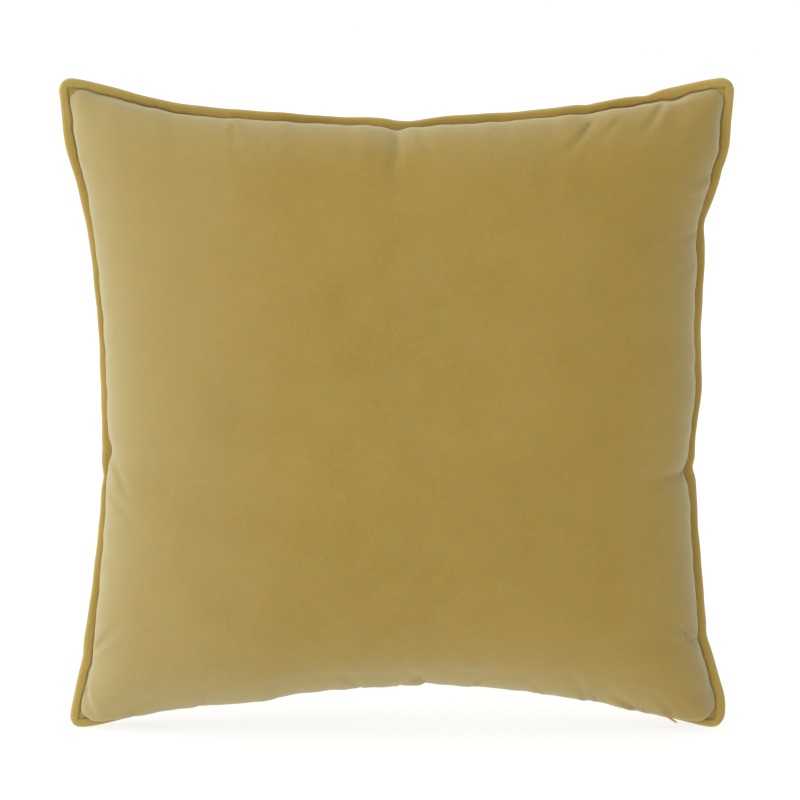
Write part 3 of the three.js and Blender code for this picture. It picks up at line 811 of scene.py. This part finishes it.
front_insert = shrunk(front_points, -1, INSERT_SHARE, 0.965, 0.0022)
back_insert = shrunk(back_points, 1, INSERT_SHARE, 0.965, 0.0022)
ticking_panel("insert_front_ticking", "insert_front", front_insert, -1)
ticking_panel("insert_back_ticking", "insert_back", back_insert, 1)
corded_edge(front_insert)
feather_fill(front_points, back_points)
insert_side = 1 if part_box("insert_label")[1].y > 0 else -1
sewn_label("insert_ribbon", "insert_label", back_insert if insert_side > 0 else front_insert,
           insert_side, 0.0012)
care_side = 1 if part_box("care_label")[1].y > 0 else -1
sewn_label("care_ribbon", "care_label", back_points if care_side > 0 else front_points,
           care_side, -0.0032)

# ---- zip ----

ZIP_RADIUS = 0.878              # the zip's arc, to the seam line
ZIP_ARC_Z = -0.8395
ZIP_Y = 0.006
ZIP_END = 0.201                 # from the middle to a stop
TAPE_HALF = 0.2085              # from the middle to the tape's end
SLIDER_REST = 0.195
PULL_SLOPE = math.radians(33)


def on_zip(along, inside, y):
    """Points from their place along the zip's arc, their depth inside it and their y."""
    along, inside, y = np.broadcast_arrays(along, inside, y)
    angle, radius = along / ZIP_RADIUS, ZIP_RADIUS + inside
    return np.stack((radius * np.sin(angle), y, ZIP_ARC_Z + radius * np.cos(angle)), -1)


def pebble(half, middle=(0, 0, 0), plan=2.0, section=2.0, axes=(0, 1, 2)):
    """A superellipsoid, as the grid of its points: a superellipse of power plan in the first two
    axes, drawn in along the third by a superellipse of power section."""
    turn = np.linspace(0, 2 * math.pi, 32, endpoint=False)
    tilt = np.linspace(-math.pi / 2, math.pi / 2, 13)

    def share(value, power):
        """A sine or cosine raised to two over the power, with its sign kept."""
        return np.sign(value) * np.abs(value) ** (2 / power)

    draw = share(np.cos(tilt), section)[:, None]
    points = np.empty((len(tilt), len(turn), 3))
    points[..., axes[0]] = half[0] * draw * share(np.cos(turn), plan)[None, :]
    points[..., axes[1]] = half[1] * draw * share(np.sin(turn), plan)[None, :]
    points[..., axes[2]] = half[2] * share(np.sin(tilt), section)[:, None]
    return points + np.array(middle)


def hoop(half_x, low, height, width, thick):
    """The slider's bridge: a rounded section carried over a superelliptic arch in x and z."""
    turn = np.linspace(0, math.pi, 25)
    path_x = half_x * np.sign(np.cos(turn)) * np.abs(np.cos(turn)) ** 0.6
    path_z = low - height * np.abs(np.sin(turn)) ** 0.6
    run_x, run_z = np.gradient(path_x), np.gradient(path_z)
    length = np.hypot(run_x, run_z)
    out_x, out_z = run_z / length, -run_x / length
    loop = np.linspace(0, 2 * math.pi, 14, endpoint=False)
    off = thick / 2 * np.sign(np.cos(loop)) * np.abs(np.cos(loop)) ** 0.6
    side = width / 2 * np.sign(np.sin(loop)) * np.abs(np.sin(loop)) ** 0.6
    x = path_x[:, None] + out_x[:, None] * off
    z = path_z[:, None] + out_z[:, None] * off
    return np.stack((x, np.broadcast_to(side, x.shape), z), -1)


def turned(points, angle, place):
    """Points turned by an angle about y and moved to a place."""
    x, y, z = points[..., 0], points[..., 1], points[..., 2]
    along = x * math.cos(angle) + z * math.sin(angle)
    up = z * math.cos(angle) - x * math.sin(angle)
    return np.stack((along, y, up), -1) + np.array(place)


def joined_piece(name, grids, material):
    """One mesh of several closed grids of points."""
    parts = [swept_piece(f"{name}_{k}", grid, material) for k, grid in enumerate(grids)]
    work = bmesh.new()
    for part in parts:
        work.from_mesh(part.data)
    joined = parts.pop(0)
    joined.name = joined.data.name = name
    work.to_mesh(joined.data)
    work.free()
    for part in parts:
        bpy.data.objects.remove(part)
    return joined


def zip_tape(name, node, front, back):
    """A woven tape: a thin superelliptic section carried along the arc, with a groove near its
    inner edge. Its outer edge follows the seam where that hangs lower than the arc. It is
    thinner there and a little further from the other tape, to give the slider room. Past the
    stops its ends are folded double towards the other tape, by a clipped ramp."""
    along = np.linspace(-TAPE_HALF, TAPE_HALF, 165)[:, None]
    turn = np.linspace(0, 2 * math.pi, 28, endpoint=False)[None, :]
    across = np.sign(np.cos(turn)) * np.abs(np.cos(turn)) ** 0.5
    through = np.sign(np.sin(turn)) * np.abs(np.sin(turn)) ** 0.5
    outer = np.minimum(eased_dips("bottom", along, 1.0), 0) - GAP
    inside = outer + (0.010 - outer) * (1 + across) / 2
    outside = np.clip(-inside / 0.0004, 0, 1)
    slim = (1 - 0.35 * np.exp(-(((inside - 0.0078) / 0.0008) ** 2))) * (1 - 0.4 * outside)
    y = (front + back) / 2 + np.sign(front - ZIP_Y) * 0.00035 * outside
    y = y + (back - front) / 2 * through * slim
    folded = np.clip((np.abs(along) - ZIP_END - 0.0027) / 0.0014, 0, 1)
    facing = (ZIP_Y - front) * through > 0
    y = y + folded * facing * 0.96 * (ZIP_Y - y)
    show(swept_piece(name, on_zip(along, inside, y), TAPE), "cover", node)


def zip_coil(name, node, middle_y):
    """A nylon coil: a round wire wound in a flat helix along the arc, sixteen loops to 20 mm."""
    pitch, wire = 0.00125, 0.00021
    turns = int(2 * (ZIP_END - 0.0006) / pitch)
    t = np.linspace(0, turns, turns * 12 + 1)
    along = -ZIP_END + 0.0006 + t * pitch
    loop = t * 2 * math.pi
    path = on_zip(along, 0.0018 + 0.00095 * np.sin(loop), middle_y + 0.00047 * np.cos(loop))
    tangent = np.gradient(path, axis=0)
    tangent /= np.linalg.norm(tangent, axis=1, keepdims=True)
    outward = path - on_zip(along, 0.0018, middle_y)
    outward -= tangent * np.einsum("ij,ij->i", outward, tangent)[:, None]
    outward /= np.linalg.norm(outward, axis=1, keepdims=True)
    beside = np.cross(tangent, outward)
    turn = np.linspace(0, 2 * math.pi, 5, endpoint=False)
    ring = outward[:, None] * np.cos(turn)[:, None] + beside[:, None] * np.sin(turn)[:, None]
    coil = swept_piece(name, path[:, None] + wire * ring, COIL)
    show(coil, "cover", node)


def zip_stop(name, node, along, y, half_y):
    """A crimped stop: a squarish superellipsoid on the arc."""
    shape = pebble((0.0012, half_y, 0.0012), plan=5, section=5)
    stop = swept_piece(name, turned(shape, along / ZIP_RADIUS, on_zip(along, 0.0018, y)), LACQUER)
    show(stop, "cover", node)


def zip_slider():
    """Two rounded plates joined by a web, lips along the outer plate, and the bridge."""
    shapes = [
        pebble((0.0045, 0.0027, 0.0006), (0, 0, -0.0014), plan=3.2, section=5),
        pebble((0.0040, 0.0019, 0.0005), (0, 0, 0.0039), plan=3.2, section=5),
        pebble((0.0025, 0.0005, 0.0028), (0, 0, 0.0013), plan=5, section=8),
        pebble((0.0033, 0.0003, 0.0005), (0, -0.0023, -0.0010), plan=4, section=4),
        pebble((0.0033, 0.0003, 0.0005), (0, 0.0023, -0.0010), plan=4, section=4),
        hoop(0.0028, -0.0017, 0.0025, 0.0010, 0.0008),
    ]
    angle = SLIDER_REST / ZIP_RADIUS
    place = on_zip(SLIDER_REST, 0.0, ZIP_Y)
    slider = joined_piece("slider", [turned(s, angle, place) for s in shapes], LACQUER)
    show(slider, "slider", "zipper_slider")


def zip_pull():
    """The pull: a pin through the bridge, two cheeks, and a long tab with a raised oval on it."""
    shapes = [
        pebble((0.00052, 0.00052, 0.0019), axes=(0, 2, 1), section=8),
        pebble((0.0030, 0.00085, 0.00045), (0.0021, -0.00140, 0), axes=(0, 2, 1), plan=3, section=4),
        pebble((0.0030, 0.00085, 0.00045), (0.0021, 0.00140, 0), axes=(0, 2, 1), plan=3, section=4),
        pebble((0.0101, 0.0019, 0.00078), (0.0139, 0, 0), plan=4, section=4),
        pebble((0.0070, 0.0011, 0.00092), (0.0145, 0, 0), plan=2.6, section=3),
    ]
    angle = SLIDER_REST / ZIP_RADIUS
    place = turned(np.array((0, 0, -0.0029)), angle, on_zip(SLIDER_REST, 0.0, ZIP_Y))
    pull = joined_piece("pull", [turned(s, PULL_SLOPE, place) for s in shapes], LACQUER)
    show(pull, "pull", "zipper_pull_tab")


zip_tape("zip_tape_front", "zipper_tape_front", 0.0031, 0.0037)
zip_tape("zip_tape_back", "zipper_tape_back", 0.0083, 0.0089)
zip_coil("zip_coil_front", "zipper_coil_front", 0.00469)
zip_coil("zip_coil_back", "zipper_coil_back", 0.00731)
zip_stop("zip_top_stop_front", "zipper_top_stop_front", ZIP_END + 0.00125, 0.0046, 0.0006)
zip_stop("zip_top_stop_back", "zipper_top_stop_back", ZIP_END + 0.00125, 0.0074, 0.0006)
zip_stop("zip_bottom_stop", "zipper_bottom_stop", -ZIP_END - 0.00125, ZIP_Y, 0.0020)
zip_slider()
zip_pull()

# ---- stage, light and camera ----

FLOOR_HALF = 60
KEY_DIRECTION = (-0.82, -0.30, 0.48)  # upper left, a little in front
KEY_LIGHT = 1.65                # its strength in that direction
FRONT_LIGHT = 0.20              # strength from the front, where it is 1 from behind
CAMERA_DISTANCE = 1.90
CAMERA_ELEVATION = 7.5          # degrees
VIEW_WIDTH = 0.5948             # width that the camera takes in at the seam plane
VIEW_SHIFT = (0.0045, 0.0098)   # of the middle of the view, as shares of its width


def stage_material():
    """A matt white that is mostly its own light."""
    material, _, _, shader = new_material("pale_floor")
    shader.inputs["Base Color"].default_value = (0.3, 0.3, 0.3, 1)
    shader.inputs["Roughness"].default_value = 0.9
    shader.inputs["Specular IOR Level"].default_value = 0
    shader.inputs["Emission Color"].default_value = (1, 1, 1, 1)
    shader.inputs["Emission Strength"].default_value = 0.79
    return material


def make_floor():
    """A flat square round the object."""
    corners = FLOOR_HALF * np.array([(-1, -1, 0), (1, -1, 0), (1, 1, 0), (-1, 1, 0)], float)
    floor = make_piece("floor", corners, np.array([(0, 1, 2, 3)]), stage_material())


def make_world():
    """White light from all round: a ramp along y, which makes it strongest behind the pillow,
    and a broad lobe from the upper left, which is a ramp of the cosine of the angle to it."""
    world = bpy.data.worlds.new("white_room")
    world.use_nodes = True
    nodes, links = world.node_tree.nodes, world.node_tree.links
    place = nodes.new("ShaderNodeTexCoord")
    toward_key = nodes.new("ShaderNodeVectorMath")
    toward_key.operation = "DOT_PRODUCT"
    toward_key.inputs[1].default_value = KEY_DIRECTION
    links.new(place.outputs["Generated"], toward_key.inputs[0])
    lobe = mapped(nodes, links, toward_key.outputs["Value"], -0.25, 1, 0, KEY_LIGHT)
    split = nodes.new("ShaderNodeSeparateXYZ")
    links.new(place.outputs["Generated"], split.inputs["Vector"])
    behind = mapped(nodes, links, split.outputs["Y"], 0.4, 0.85, FRONT_LIGHT, 1.0)
    total = nodes.new("ShaderNodeMath")
    total.operation = "ADD"
    links.new(lobe, total.inputs[0])
    links.new(behind, total.inputs[1])
    background = nodes["Background"]
    background.inputs["Color"].default_value = (1, 1, 1, 1)
    links.new(total.outputs["Value"], background.inputs["Strength"])
    bpy.context.scene.world = world


def make_camera():
    """A camera in front of the object that looks down at its middle."""
    middle = Vector((0, 0, CENTRE_Z))
    angle = math.radians(CAMERA_ELEVATION)
    data = bpy.data.cameras.new("camera")
    data.lens = data.sensor_width * CAMERA_DISTANCE / VIEW_WIDTH
    data.shift_x, data.shift_y = VIEW_SHIFT
    camera = bpy.data.objects.new("camera", data)
    bpy.context.scene.collection.objects.link(camera)
    back = Vector((0, -math.cos(angle), math.sin(angle)))
    camera.location = middle + back * CAMERA_DISTANCE
    camera.rotation_euler = (-back).to_track_quat("-Z", "Y").to_euler()
    bpy.context.scene.camera = camera


make_floor()
make_world()
make_camera()
bpy.context.scene.view_settings.view_transform = "Standard"
